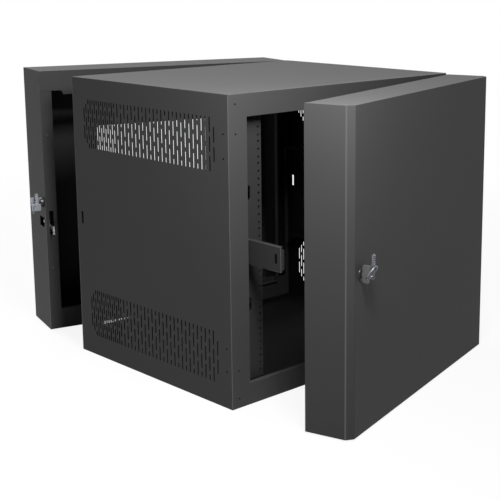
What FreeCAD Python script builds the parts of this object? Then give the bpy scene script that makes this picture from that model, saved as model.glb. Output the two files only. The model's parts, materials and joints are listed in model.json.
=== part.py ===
"""Swing-out wall mount network cabinet, 12 rack units, as an assembly of sheet-metal sections.

Row frame: millimetres, +Z up, origin at the middle of the back plate's wall face, -Y out from the wall.
Three sections hang on vertical hinges at the right: the wall section stays on the wall, the cabinet
swings away from it, and the door swings away from the cabinet. Every piece is drawn with the whole
cabinet shut, and then turned about its hinge to the angle at which it stands.
"""
import FreeCAD, Part
import math
import os
import re

import Sketcher

doc = FreeCAD.newDocument("wall_mount_cabinet")
dims = doc.addObject("Spreadsheet::Sheet", "dims")

# driving dimensions, in millimetres and degrees
DRIVING = {
    "width": 657,
    "height": 634,
    "sheet": 1.5,
    "wall_depth": 132,
    "swing_depth": 534,
    "door_depth": 99,
    "section_gap": 3,
    "wall_trim": 1,
    "door_trim": 3,
    "swing_open": 15.2,
    "door_open": 15.7,
    "post_width": 47.5,
    "rim_height": 46.5,
    "hem": 10,
    "wall_flange_side": 28,
    "wall_flange_top": 56.5,
    "wall_flange_low": 50,
    "wall_flange_step": 9.5,
    "back_opening_width": 302,
    "back_opening_height": 320,
    "stud_spacing": 406.4,
    "wall_hole_dia": 10.5,
    "door_corner": 12.5,
    "door_lip": 12,
    "rack_unit": 44.45,
    "rack_units": 12,
    "rack_hole_spacing": 465.1,
    "rack_clear_width": 450.85,
    "rack_hole_dia": 5.2,
    "rack_setback": 22,
    "rail_face": 41,
    "rail_leg": 30,
    "rail_gauge": 2,
    "slot_width": 3.6,
    "slot_length": 30.9,
    "slot_period": 38.5,
    "vent_pitch": 12.85,
    "vent_fine_pitch": 8.1,
    "vent_fine_start": 44,
    "vent_start": 169.3,
    "vent_edge": 46.8,
    "keeper_setin": 52,
    "keeper_reach": 89,
    "keeper_height": 51,
    "keeper_flange": 9,
    "lock_setin": 36.5,
    "bolt_throw": 10,
    "barrel_radius": 4.25,
    "pin_radius": 2.5,
    "hinge_offset": 5.5,
    "hinge_height": 268,
    "knuckle": 27,
    "leaf_width": 30,
}
# positions worked out from them
DERIVED = {
    "half_width": "=width / 2",
    "half_height": "=height / 2",
    "wall_front": "=-wall_depth",
    "rear_plane": "=wall_front - section_gap",
    "front_plane": "=rear_plane - swing_depth",
    "door_rear": "=front_plane - section_gap",
    "door_front": "=door_rear - door_depth",
    "wall_half": "=half_height - wall_trim",
    "door_half": "=half_height - door_trim",
    "hinge_x": "=half_width + hinge_offset",
    "swing_hinge_y": "=wall_front - section_gap / 2",
    "door_hinge_y": "=front_plane - section_gap / 2",
    "rail_front": "=front_plane + rack_setback",
    "lock_x": "=-half_width + lock_setin",
    "wall_lock_y": "=wall_front + 20",
    "keeper_x": "=-half_width + keeper_setin",
    "bolt_y": "=front_plane - 75",
}
ROWS = list(DRIVING.items()) + list(DERIVED.items())
for row, (name, content) in enumerate(ROWS, start=1):
    dims.set(f"A{row}", name)
    dims.set(f"B{row}", str(content))
    dims.setAlias(f"B{row}", name)
doc.recompute()
ALIAS = re.compile(r"\b(" + "|".join(name for name, content in ROWS) + r")\b")


def size(name):
    """The number in the spreadsheet cell with this alias."""
    return float(dims.get(name))


def bound(text):
    """The same formula with each alias written as a reference to the spreadsheet."""
    return ALIAS.sub(r"dims.\1", str(text))


# ---------------------------------------------------------------- sketches and features
PLANES = {"XY": "XY_Plane", "XZ": "XZ_Plane", "YZ": "YZ_Plane"}
pieces = []


def piece(label, section, seat=FreeCAD.Placement()):
    """An empty body that becomes one sub-part and stands with the named section, from its own seat."""
    body = doc.addObject("PartDesign::Body", label)
    body.Label = label
    body.AllowCompound = True
    pieces.append((body, section, seat))
    return body


def new_sketch(body, plane, offset):
    """A sketch on one of the body's origin planes, moved along the plane's normal by a formula."""
    sketch = body.newObject("Sketcher::SketchObject", f"{body.Name}_sketch")
    origin_plane = [f for f in body.Origin.OriginFeatures if f.Role == PLANES[plane]][0]
    sketch.AttachmentSupport = (origin_plane, "")
    sketch.MapMode = "FlatFace"
    sketch.setExpression("AttachmentOffset.Base.z", bound(offset))
    return sketch


def draw_loops(sketch, polygons, circles):
    """Closed polygons, whose corners are pairs of formulas, and circles given by x, y and radius formulas."""
    shapes, ties, formulas = [], [], []
    for points in polygons:
        first, count = len(shapes), len(points)
        angles = [2 * math.pi * i / count for i in range(count)]
        corners = [FreeCAD.Vector(9 * math.cos(a), 9 * math.sin(a), 0) for a in angles]
        for i, (x, y) in enumerate(points):
            follower = (i + 1) % count
            shapes.append(Part.LineSegment(corners[i], corners[follower]))
            ties.append(Sketcher.Constraint("Coincident", first + i, 2, first + follower, 1))
            formulas.append((("DistanceX", -1, 1, first + i, 1, corners[i].x), x))
            formulas.append((("DistanceY", -1, 1, first + i, 1, corners[i].y), y))
    for x, y, radius in circles:
        index = len(shapes)
        shapes.append(Part.Circle(FreeCAD.Vector(5, 5, 0), FreeCAD.Vector(0, 0, 1), 3))
        formulas.append((("DistanceX", -1, 1, index, 3, 5.0), x))
        formulas.append((("DistanceY", -1, 1, index, 3, 5.0), y))
        formulas.append((("Radius", index, 3.0), radius))
    sketch.addGeometry(shapes)
    sketch.addConstraint(ties + [Sketcher.Constraint(*arguments) for arguments, text in formulas])
    for index, (arguments, text) in enumerate(formulas, start=len(ties)):
        sketch.setExpression(f"Constraints[{index}]", bound(text))


def rect(x0, y0, x1, y1):
    """The corners of a rectangle between two opposite corners, all formulas."""
    return [(x0, y0), (x1, y0), (x1, y1), (x0, y1)]


def regular(x, y, radius, sides):
    """The corners of a regular polygon with this inner radius, flat sides up, down, left and right."""
    outer = radius / math.cos(math.pi / sides)
    turns = [2 * math.pi * (i + 0.5) / sides for i in range(sides)]
    return [(f"{x} + {outer * math.cos(t):.4f}", f"{y} + {outer * math.sin(t):.4f}") for t in turns]


def feature(kind, body, plane, start, depth, polygons, circles):
    """Pad or pocket the loops from the coordinate start by depth towards the positive axis."""
    offset = f"-({start}) - ({depth})" if plane == "XZ" else start
    sketch = new_sketch(body, plane, offset)
    draw_loops(sketch, polygons, circles)
    made = body.newObject(kind, f"{body.Name}_{kind.split('::')[1].lower()}")
    made.Profile = sketch
    made.setExpression("Length", bound(depth))
    made.Refine = False
    if kind == "PartDesign::Pocket":
        made.Reversed = True
    doc.recompute()
    return made


def pad(body, plane, start, depth, polygons=(), circles=()):
    """Add material to a body."""
    return feature("PartDesign::Pad", body, plane, start, depth, polygons, circles)


def pocket(body, plane, start, depth, polygons=(), circles=()):
    """Cut material from a body, and make sure that some was there."""
    before = body.Shape.Volume
    made = feature("PartDesign::Pocket", body, plane, start, depth, polygons, circles)
    assert body.Shape.Volume < before - 0.01, f"{made.Name} cuts nothing"
    return made


def repeat(body, cut, pitch, count, axis="H_Axis"):
    """Repeat a cut along one of its sketch's axes."""
    pattern = body.newObject("PartDesign::LinearPattern", f"{body.Name}_pattern")
    pattern.Originals = [cut]
    pattern.Direction = (cut.Profile[0], [axis])
    pattern.setExpression("Length", bound(f"({pitch}) * {count - 1}"))
    pattern.Occurrences = count
    pattern.Refine = False
    body.Tip = pattern
    doc.recompute()
    return pattern


# ---------------------------------------------------------------- wall section
def make_wall_section():
    """The shallow tray that stays on the wall, with the frame that the cabinet shuts against."""
    back = piece("wall_back_plate", "wall")
    pad(back, "XZ", "-sheet", "sheet", [
        rect("-half_width + sheet", "-wall_half + sheet", "half_width - sheet", "wall_half - sheet"),
        rect("-back_opening_width / 2", "-back_opening_height / 2",
             "back_opening_width / 2", "back_opening_height / 2")])
    stud = "stud_spacing / 2"
    pocket(back, "XZ", "-sheet - 1", "sheet + 2", circles=[
        (f"{sx}{stud}", f"{sz}{stud}", "wall_hole_dia / 2") for sx in ("", "-") for sz in ("", "-")])

    for name, side in (("wall_left_side", "-"), ("wall_right_side", "")):
        shell = piece(name, "wall")
        inward = "+" if side == "-" else "-"
        outer = f"{side}half_width"
        pad(shell, "XY", "-wall_half + sheet", "2 * (wall_half - sheet)", [[
            (outer, "0"), (outer, "wall_front"), (f"{outer} {inward} wall_flange_side", "wall_front"),
            (f"{outer} {inward} wall_flange_side", "wall_front + hem"),
            (f"{outer} {inward} (wall_flange_side - sheet)", "wall_front + hem"),
            (f"{outer} {inward} (wall_flange_side - sheet)", "wall_front + sheet"),
            (f"{outer} {inward} sheet", "wall_front + sheet"), (f"{outer} {inward} sheet", "0")]])
        if side == "-":
            pocket(shell, "XZ", "wall_front - 1", "sheet + 2",
                   [rect("-half_width + 9", "-77", "-half_width + 19.6", "-20")])
            pocket(shell, "YZ", "-half_width - 1", "sheet + 2",
                   [rect("wall_front + 13", "-62", "wall_front + 49", "-38"),
                    regular("wall_lock_y", "0", 9.2, 8)])

    top = piece("wall_top", "wall")
    pad(top, "YZ", "-half_width", "width", [rect("wall_front", "wall_half - sheet", "0", "wall_half")])
    step = "-half_width + 52"
    pad(top, "XZ", "wall_front - sheet", "sheet", [[
        ("-half_width", "wall_half"), ("half_width", "wall_half"),
        ("half_width", "wall_half - wall_flange_top + wall_flange_step"),
        ("half_width - 52", "wall_half - wall_flange_top + wall_flange_step"),
        ("half_width - 56", "wall_half - wall_flange_top"), (f"{step} + 4", "wall_half - wall_flange_top"),
        (step, "wall_half - wall_flange_top + wall_flange_step"),
        ("-half_width", "wall_half - wall_flange_top + wall_flange_step")]])

    bottom = piece("wall_bottom", "wall")
    pad(bottom, "YZ", "-half_width + wall_flange_side", "width - 2 * wall_flange_side", [[
        ("0", "-wall_half"), ("wall_front", "-wall_half"), ("wall_front", "-wall_half + wall_flange_low"),
        ("wall_front + hem", "-wall_half + wall_flange_low"),
        ("wall_front + hem", "-wall_half + wall_flange_low - sheet"),
        ("wall_front + sheet", "-wall_half + wall_flange_low - sheet"),
        ("wall_front + sheet", "-wall_half + sheet"), ("0", "-wall_half + sheet")]])
    for x0, x1 in (("-half_width", "-half_width + wall_flange_side"),
                   ("half_width - wall_flange_side", "half_width")):
        pad(bottom, "XY", "-wall_half", "sheet", [rect(x0, "wall_front", x1, "0")])

    buffers = piece("buffer_pads", "wall")
    pad(buffers, "XZ", "wall_front - 2.4", "2.4",
        [regular("-half_width + 13", f"{sz}162", 6, 16) for sz in ("", "-")])


# ---------------------------------------------------------------- cabinet
def vent_slots(kind):
    """Slot outlines of one vent column, low and high field: three slots in an odd column, two in an even."""
    count, shift = (3, "0") if kind == "odd" else (2, "slot_period / 2")
    outlines = []
    for row in range(count):
        low = f"vent_edge + {shift} + {row} * slot_period"
        outlines.append((f"-half_height + {low}", f"-half_height + {low} + slot_length"))
        outlines.append((f"half_height - ({low}) - slot_length", f"half_height - ({low})"))
    return outlines


VENT_BANDS = (
    # first column behind the rear edge, pitch, kind of the first column, number of columns
    ("vent_fine_start", "vent_fine_pitch", ("even", "odd"), 15),
    ("vent_start", "vent_pitch", ("odd", "even"), 26),
)


def cut_vents(wall, x_start):
    """Both vent fields of a side wall: a close-pitched band at the rear, then the wide one."""
    for start, pitch, kinds, count in VENT_BANDS:
        for first, kind in enumerate(kinds):
            centre = f"rear_plane - {start} - {first} * {pitch}"
            columns = (count + 1 - first) // 2
            slots = [rect(f"{centre} - slot_width / 2", z0, f"{centre} + slot_width / 2", z1)
                     for z0, z1 in vent_slots(kind)]
            cut = pocket(wall, "YZ", x_start, "sheet + 2", slots)
            pattern = repeat(wall, cut, f"2 * {pitch}", columns)
            pattern.Reversed = True
            doc.recompute()


def make_side_wall(name, side):
    """A flat side wall with its vent fields, a slot near the rear and four frame screw holes."""
    wall = piece(name, "cabinet")
    inner = "-half_width" if side < 0 else "half_width - sheet"
    pad(wall, "YZ", inner, "sheet", [
        rect("front_plane + sheet", "-half_height + sheet", "rear_plane - sheet", "half_height - sheet")])
    pocket(wall, "YZ", f"{inner} - 1", "sheet + 2",
           [rect("rear_plane - 24", "-14", "rear_plane - 17.5", "14")]
           + [regular("front_plane + 15.5", f"{sz}{z}", 2, 8) for sz in ("", "-") for z in (191.5, 239.5)])
    cut_vents(wall, f"{inner} - 1")


def post_outline(side, plane, outwards, width):
    """Plan of an upright frame member: a face, and a hem turned into the cabinet at its inner edge."""
    sx = "-" if side < 0 else ""
    inward = "+" if side < 0 else "-"
    outer = f"{sx}half_width"
    return [(outer, plane), (f"{outer} {inward} {width}", plane),
            (f"{outer} {inward} {width}", f"{plane} {outwards} hem"),
            (f"{outer} {inward} ({width} - sheet)", f"{plane} {outwards} hem"),
            (f"{outer} {inward} ({width} - sheet)", f"{plane} {outwards} sheet"),
            (outer, f"{plane} {outwards} sheet")]


def rim_outline(side, plane, outwards):
    """Section of a level frame member: a face, and a hem turned into the cabinet at its inner edge."""
    sz = "-" if side < 0 else ""
    inward = "+" if side < 0 else "-"
    outer = f"{sz}(half_height - sheet)"
    inner = f"{sz}(half_height - rim_height)"
    return [(plane, outer), (plane, inner), (f"{plane} {outwards} hem", inner),
            (f"{plane} {outwards} hem", f"{inner} {'-' if side < 0 else '+'} sheet"),
            (f"{plane} {outwards} sheet", f"{inner} {'-' if side < 0 else '+'} sheet"),
            (f"{plane} {outwards} sheet", outer)]


def make_frames():
    """The welded picture frames at the front and rear of the cabinet, and its top and bottom."""
    for name, z0 in (("top_panel", "half_height - sheet"), ("bottom_panel", "-half_height")):
        panel = piece(name, "cabinet")
        pad(panel, "XY", z0, "sheet", [rect("-half_width", "front_plane", "half_width", "rear_plane")])
    ends = (("front", "front_plane", "+"), ("rear", "rear_plane", "-"))
    for end, plane, outwards in ends:
        for word, side in (("left", -1), ("right", 1)):
            post = piece(f"{end}_{word}_post", "cabinet")
            pad(post, "XY", "-half_height + sheet", "height - 2 * sheet",
                [post_outline(side, plane, outwards, "post_width")])
            sx = "-" if side < 0 else ""
            at = "+" if side < 0 else "-"
            if end == "front":
                pocket(post, "XZ", "front_plane - 1", "sheet + 2", [
                    regular(f"{sx}half_width {at} 18.8", f"{sz}(half_height - {z})", 2.1, 8)
                    for sz in ("", "-") for z in (20, 78)])
            else:
                pocket(post, "XZ", "rear_plane - sheet - 1", "sheet + 2", [
                    rect(f"{sx}half_width {at} 8", z0, f"{sx}half_width {at} 15", z1)
                    for z0, z1 in (("-84.5", "-47.5"), ("47.5", "84.5"))])
        for word, side in (("bottom", -1), ("top", 1)):
            rim = piece(f"{end}_{word}_rim", "cabinet")
            pad(rim, "YZ", "-half_width + post_width", "width - 2 * post_width",
                [rim_outline(side, plane, outwards)])


def make_rack_rails():
    """Two rack rails, drilled to the EIA pitch, on level supports that are welded to the side walls."""
    rail_low = "-(rack_unit * rack_units / 2 + 6)"
    rail_tall = "rack_unit * rack_units + 12"
    for word, side in (("left", -1), ("right", 1)):
        sx = "-" if side < 0 else ""
        out = "-" if side < 0 else "+"
        back = "+" if side < 0 else "-"
        inner = f"{sx}rack_clear_width / 2"
        outer = f"{inner} {out} rail_face"
        rail = piece(f"{word}_rack_rail", "cabinet")
        pad(rail, "XY", rail_low, rail_tall, [[
            (inner, "rail_front"), (outer, "rail_front"), (outer, "rail_front + rail_leg"),
            (f"{outer} {back} rail_gauge", "rail_front + rail_leg"),
            (f"{outer} {back} rail_gauge", "rail_front + rail_gauge"), (inner, "rail_front + rail_gauge")]])
        first = "-rack_unit * rack_units / 2"
        column = f"{sx}rack_hole_spacing / 2"
        last = f"{first} + rack_unit * (rack_units - 1)"
        radius = size("rack_hole_dia") / 2
        tapped = [regular(column, f"{first} + {z}", radius, 8) for z in (22.225, 38.1)]
        tapped += [regular(column, f"{last} + {z}", radius, 8) for z in (6.35, 22.225)]
        ends = [(column, z, "rack_hole_dia / 2") for z in (f"{first} + 6.35", f"{last} + 38.1")]
        slots = [[(f"{outer} {back} 3", f"{z} - 11"), (f"{outer} {back} 6", f"{z} - 15"),
                  (f"{outer} {back} 8.5", f"{z} - 15"), (f"{outer} {back} 11.5", f"{z} - 11"),
                  (f"{outer} {back} 11.5", f"{z} + 11"), (f"{outer} {back} 8.5", f"{z} + 15"),
                  (f"{outer} {back} 6", f"{z} + 15"), (f"{outer} {back} 3", f"{z} + 11")]
                 for z in ("115", "-115")]
        pocket(rail, "XZ", "rail_front - 1", "rail_gauge + 2", slots + tapped, ends)
        unit = [regular(column, f"{first} + rack_unit + {z}", radius, 8) for z in (6.35, 22.225, 38.1)]
        cut = pocket(rail, "XZ", "rail_front - 1", "rail_gauge + 2", unit)
        repeat(rail, cut, "rack_unit", int(size("rack_units")) - 2, "V_Axis")

        supports = piece(f"{word}_rail_supports", "cabinet")
        wall_face = f"{sx}(half_width - sheet)"
        for z in ("115", "-115"):
            pad(supports, "XZ", "rail_front + rail_gauge", "swing_depth - 2 * rack_setback - 40", [[
                (wall_face, f"{z} - 17"), (wall_face, f"{z} + 17"), (f"{wall_face} {back} sheet", f"{z} + 17"),
                (f"{wall_face} {back} sheet", f"{z} - 17 + sheet"),
                (f"{outer} {out} 0.5", f"{z} - 17 + sheet"), (f"{outer} {out} 0.5", f"{z} - 17")]])


def make_lacing_bars():
    """Slotted bars for cable ties, stood off inside the rear posts."""
    for word, side in (("left", -1), ("right", 1)):
        sx = "-" if side < 0 else ""
        out = "-" if side < 0 else "+"
        edge = f"{sx}(half_width - post_width)"
        near = f"{edge} {out} 22"
        bar = piece(f"{word}_lacing_bar", "cabinet")
        pad(bar, "XY", "-250", "500", [[
            (edge, "rear_plane - hem - 4"), (near, "rear_plane - hem - 4"),
            (near, "rear_plane - sheet"), (f"{near} {'+' if side < 0 else '-'} sheet", "rear_plane - sheet"),
            (f"{near} {'+' if side < 0 else '-'} sheet", "rear_plane - hem - 4 + sheet"),
            (edge, "rear_plane - hem - 4 + sheet")]])
        slots = [rect(f"{edge} {out} 7", f"{72 * row} - 13", f"{edge} {out} 13", f"{72 * row} + 13")
                 for row in range(-3, 4)]
        pocket(bar, "XZ", "rear_plane - hem - 5", "sheet + 2", slots)


def make_keeper():
    """The folded keeper that reaches out of the front opening, for the door's bolt."""
    keeper = piece("door_keeper", "cabinet")
    low, high = "-keeper_height / 2", "keeper_height / 2"
    tip = "front_plane - keeper_reach"
    pad(keeper, "YZ", "keeper_x", "sheet", [rect(tip, low, "front_plane + hem + sheet", high)])
    pad(keeper, "XZ", "front_plane + hem", "sheet", [rect("keeper_x - 24", low, "keeper_x", high)])
    for z0 in (low, f"{high} - sheet"):
        pad(keeper, "XY", z0, "sheet", [
            rect("keeper_x + sheet", f"{tip} + 3", "keeper_x + keeper_flange", "front_plane + hem + sheet")])
    pad(keeper, "XZ", tip, "sheet", [[
        ("keeper_x + sheet", f"{low} + 1.8"), ("keeper_x + keeper_flange", f"{low} + 6"),
        ("keeper_x + keeper_flange", f"{high} - 6"), ("keeper_x + sheet", f"{high} - 1.8")]])
    pocket(keeper, "YZ", "keeper_x - 1", "sheet + 2", [rect("bolt_y - 3.6", "-10", "bolt_y + 4.6", "10")])


# ---------------------------------------------------------------- door
def make_door():
    """The deep box door: a wrapped skin with chamfered upright corners, a top and a bottom let into it."""
    skin = piece("door_skin", "door")
    inner = "half_width - sheet"
    lip = "half_width - door_lip"
    outer_cut = [(inner, "door_front + door_corner + 0.6"),
                 ("half_width - door_corner - 0.6", "door_front + sheet")]
    right = [("half_width - door_corner", "door_front"), ("half_width", "door_front + door_corner"),
             ("half_width", "door_rear"), (lip, "door_rear"), (lip, "door_rear - sheet"),
             (inner, "door_rear - sheet")] + outer_cut
    left = [(f"-({x})", y) for x, y in reversed(right)]
    pad(skin, "XY", "-door_half", "2 * door_half", [right + left])
    pocket(skin, "XZ", "door_front - 1", "sheet + 2", [regular("lock_x", "0", 9.2, 8)])

    for name, z0, lip_low in (("door_top", "door_half - sheet", "door_half - door_lip"),
                              ("door_bottom", "-door_half", "-door_half + sheet")):
        cap = piece(name, "door")
        pad(cap, "XY", z0, "sheet", [[
            ("-half_width + sheet", "door_rear - sheet"),
            ("-half_width + sheet", "door_front + door_corner + 0.7"),
            ("-half_width + door_corner + 0.7", "door_front + sheet"),
            ("half_width - door_corner - 0.7", "door_front + sheet"),
            ("half_width - sheet", "door_front + door_corner + 0.7"),
            ("half_width - sheet", "door_rear - sheet")]])
        pad(cap, "XZ", "door_rear - 2 * sheet", "sheet", [
            rect("-half_width + door_lip", lip_low, "half_width - door_lip", f"{lip_low} + door_lip - sheet")])

    stiffener = piece("door_stiffener", "door")
    pad(stiffener, "XY", "-door_half + 30", "2 * door_half - 60", [[
        ("-32", "door_front + sheet"), ("-20", "door_front + sheet"), ("-20", "door_front + 20"),
        ("20", "door_front + 20"), ("20", "door_front + sheet"), ("32", "door_front + sheet"),
        ("32", "door_front + 2 * sheet"), ("20 + sheet", "door_front + 2 * sheet"),
        ("20 + sheet", "door_front + 20 + sheet"), ("-20 - sheet", "door_front + 20 + sheet"),
        ("-20 - sheet", "door_front + 2 * sheet"), ("-32", "door_front + 2 * sheet")]])


# ---------------------------------------------------------------- locks
def crank(x, side, reach):
    """Outline of the lever on the end of a lock plug, down to a crank pin as far sideways as down."""
    points = ((-6, 3), (-2, 7), (5, 5), (reach + 4, 2 - reach), (reach + 3, -reach - 3),
              (reach - 2, -reach - 4), (-5, -5))
    return [(f"{x} + {side * along}", up) for along, up in points]


def make_door_lock():
    """A rim lock: cylinder through the skin, case behind it, and a bolt that the key throws sideways."""
    housing = piece("door_lock_cylinder", "door")
    face = "door_front"
    pad(housing, "XZ", f"{face} - 1.6", "1.6", [regular("lock_x", "0", 12, 32)], [("lock_x", "0", "6.1")])
    pad(housing, "XZ", face, "21", [regular("lock_x", "0", 9, 8)], [("lock_x", "0", "6.1")])

    case = piece("door_lock_case", "door")
    x0, x1 = "lock_x - 18", "lock_x + 11.5"
    pad(case, "XZ", "door_front + sheet", "31.5", [rect(x0, "-20", x1, "20")])
    pocket(case, "XZ", "door_front + sheet - 1", "31",
           [rect(f"{x0} + sheet", "-20 + sheet", f"{x1} - sheet", "20 - sheet")])
    pocket(case, "YZ", f"{x1} - sheet - 1", "sheet + 2",
           [rect("bolt_y - 3.1", "-9.6", "bolt_y + 3.1", "9.6")])

    plug = piece("door_lock_plug", "door_key")
    pad(plug, "XZ", f"{face} - 2", "24", circles=[("lock_x", "0", "6")])
    pad(plug, "XZ", f"{face} + 22", "2", [crank("lock_x", -1, 5)])
    pad(plug, "XZ", f"{face} + 24", "7", circles=[("lock_x - bolt_throw / 2", "-bolt_throw / 2", "1.5")])

    bolt = piece("door_bolt", "door_bolt")
    notch_x = "lock_x - bolt_throw / 2"
    pad(bolt, "XZ", "bolt_y - 2.5", "5", [[
        ("lock_x - 11", "-9"), (f"{notch_x} - 2.5", "-9"), (f"{notch_x} - 2.5", "-2.5"),
        (f"{notch_x} + 2.5", "-2.5"), (f"{notch_x} + 2.5", "-9"), ("lock_x + 9.5", "-9"),
        ("lock_x + 11", "-7.5"), ("lock_x + 11", "7.5"), ("lock_x + 9.5", "9"), ("lock_x - 11", "9")]])

    hole_y, hole_z, ring_radius = -12, -7, 15.1
    hole = regular(f"{face} + {hole_y}", hole_z, 3.2, 8)
    key = piece("door_key", "door_key")
    pad(key, "YZ", "lock_x - 1.25", "2.5", [[
        (f"{face} - 2", "-4"), (f"{face} - 3.5", "-4"), (f"{face} - 3.5", "-13.5"), (f"{face} - 5.5", "-15.5"),
        (f"{face} - 15", "-15.5"), (f"{face} - 17", "-13.5"), (f"{face} - 17", "16.5"),
        (f"{face} - 15", "18.5"), (f"{face} - 5.5", "18.5"), (f"{face} - 3.5", "16.5"),
        (f"{face} - 3.5", "4"), (f"{face} - 2", "4")], hole])
    # the ring leans out by 30 degrees: it enters both holes at 45 degrees and clears the bows' front edges
    half_chord = ring_radius * math.sin(math.radians(45))
    lean = math.radians(30)
    ring_y = hole_y - half_chord * math.sin(lean)
    ring_z = hole_z + half_chord * math.cos(lean)
    centre = FreeCAD.Vector(0, size("door_front") + ring_y, ring_z)
    ring = piece("door_key_ring", "door_key", FreeCAD.Placement(
        FreeCAD.Vector(), FreeCAD.Rotation(FreeCAD.Vector(1, 0, 0), 30), centre))
    pad(ring, "XZ", f"{face} + {ring_y - 0.8:.3f}", "1.6",
        [regular(f"lock_x + {half_chord:.3f}", f"{ring_z:.3f}", ring_radius + wire, 24)
         for wire in (0.9, -0.9)])
    spare = piece("door_spare_key", "door_key")
    pad(spare, "YZ", f"lock_x + {2 * half_chord - 1.1:.3f}", "2.2", [[
        (f"{face} - 17", "-14"), (f"{face} - 5", "-14"), (f"{face} - 5", "13"), (f"{face} - 11", "13"),
        (f"{face} - 11", "33"), (f"{face} - 15", "36"), (f"{face} - 19", "33"), (f"{face} - 19", "14.5"),
        (f"{face} - 17", "12")], hole])


def make_wall_lock():
    """The side lock of the wall section: its key swings a hook that catches the cabinet's rear post."""
    outer = "-half_width"
    housing = piece("wall_lock_cylinder", "wall")
    pad(housing, "YZ", f"{outer} - 8", "8", [regular("wall_lock_y", "0", 12, 32)],
        [("wall_lock_y", "0", "6.1")])
    pad(housing, "YZ", outer, "7", [regular("wall_lock_y", "0", 9, 8)], [("wall_lock_y", "0", "6.1")])
    nut = piece("wall_lock_nut", "wall")
    pad(nut, "YZ", f"{outer} + sheet", "4",
        [regular("wall_lock_y", "0", 12, 6), regular("wall_lock_y", "0", 9.1, 8)])

    plug = piece("wall_lock_plug", "wall_key")
    pad(plug, "YZ", f"{outer} - 8.6", "16.1", circles=[("wall_lock_y", "0", "6")])
    pad(plug, "YZ", f"{outer} + 7.5", "2", [crank("wall_lock_y", 1, 8)])
    pad(plug, "YZ", f"{outer} + 9.5", "5", circles=[("wall_lock_y + 7.5", "-7.5", "2.5")])

    hook = piece("latch_hook", "hook")
    pivot_y, pivot_z = "wall_front + 29.5", -50
    pad(hook, "YZ", f"{outer} + 10.2", "3", [[
        ("wall_front - 28", pivot_z - 22), ("wall_front - 22", pivot_z - 24),
        ("wall_front - 17", pivot_z - 13), ("wall_front + 16", pivot_z - 12),
        (f"{pivot_y} + 2", pivot_z - 8), (f"{pivot_y} + 8", pivot_z), (f"{pivot_y} + 6", pivot_z + 30),
        ("wall_front + 35", "-2"), ("wall_front + 31.4", "-2"), ("wall_front + 31.4", "-13"),
        ("wall_front + 23.6", "-13"), ("wall_front + 23.6", "-2"), ("wall_front + 20", "-2"),
        (f"{pivot_y} - 9", pivot_z + 20), (f"{pivot_y} - 12", pivot_z + 4),
        ("wall_front + 8", pivot_z - 4), ("wall_front - 24", pivot_z - 4)]],
        [(pivot_y, pivot_z, "3.1")])

    bracket = piece("latch_bracket", "wall")
    pad(bracket, "XY", "-70", "40", [[
        (f"{outer} + sheet", "wall_front + 66"), (f"{outer} + sheet", "wall_front + 54"),
        (f"{outer} + 15", "wall_front + 54"), (f"{outer} + 15", "wall_front + 12"),
        (f"{outer} + 15 + sheet", "wall_front + 12"), (f"{outer} + 15 + sheet", "wall_front + 54 + sheet"),
        (f"{outer} + 2 * sheet", "wall_front + 54 + sheet"), (f"{outer} + 2 * sheet", "wall_front + 66")]])
    pocket(bracket, "YZ", f"{outer} + 14", "4", circles=[(pivot_y, pivot_z, "3")])
    pin = piece("latch_pin", "wall")
    pad(pin, "YZ", f"{outer} + 4", "13.5", circles=[(pivot_y, pivot_z, "3")])

    hole = regular(f"{outer} - 25.5", "-8.5", 3, 8)
    key = piece("wall_key", "wall_key")
    pad(key, "XZ", "wall_lock_y - 1.25", "2.5", [[
        (f"{outer} - 8.6", "-4"), (f"{outer} - 18", "-4"), (f"{outer} - 18", "-13"), (f"{outer} - 30", "-13"),
        (f"{outer} - 30", "13"), (f"{outer} - 18", "13"), (f"{outer} - 18", "4"), (f"{outer} - 8.6", "4")],
        hole])
    ring = piece("wall_key_ring", "wall_key")
    pad(ring, "YZ", f"{outer} - 26.2", "1.4",
        [regular("wall_lock_y - 6.5", "-15", 10, 20), regular("wall_lock_y - 6.5", "-15", 8.4, 20)])
    spare = piece("wall_spare_key", "wall_key")
    pad(spare, "XZ", "wall_lock_y - 14.1", "2.2", [[
        (f"{outer} - 30", "-18"), (f"{outer} - 8", "-18"), (f"{outer} - 8", "-1"), (f"{outer} - 14", "-1"),
        (f"{outer} - 14", "22"), (f"{outer} - 18", "25"), (f"{outer} - 22", "22"), (f"{outer} - 22", "-1"),
        (f"{outer} - 30", "-1")], hole])


# ---------------------------------------------------------------- hinges
def knuckle_span(end, which):
    """Bottom formula and height of one half of a lift-off hinge: pin half below, hung half above."""
    centre = "hinge_height" if end == "top" else "-hinge_height"
    return (f"{centre} - knuckle - 0.25" if which == "pin" else f"{centre} + 0.25"), "knuckle"


def make_hinge_set(word, y, fixed_section, hung_section, fixed_face):
    """Two lift-off hinges on one axis: a pinned leaf on each fixed section and a hung leaf above it."""
    fixed = piece(f"{word}_hinge_pin_leaves", fixed_section)
    hung = piece(f"{word}_hinge_hung_leaves", hung_section)
    for end in ("bottom", "top"):
        low, tall = knuckle_span(end, "pin")
        pad(fixed, "XY", low, tall,
            [rect("half_width - leaf_width", fixed_face, "hinge_x", f"{fixed_face} + sheet")])
        pad(fixed, "XY", low, tall, circles=[("hinge_x", y, "barrel_radius")])
    for end in ("bottom", "top"):
        low, tall = knuckle_span(end, "hung")
        pad(hung, "XY", low, tall, [
            rect("half_width", f"{y} - 30", "half_width + sheet", y)])
        pad(hung, "XY", low, tall, circles=[("hinge_x", y, "barrel_radius")])
    pocket(hung, "XY", "-half_height", "height", circles=[("hinge_x", y, "pin_radius + 0.05")])
    for end in ("bottom", "top"):
        low, tall = knuckle_span(end, "pin")
        pad(fixed, "XY", f"{low} + {tall}", f"{tall} - 2", circles=[("hinge_x", y, "pin_radius")])


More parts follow.
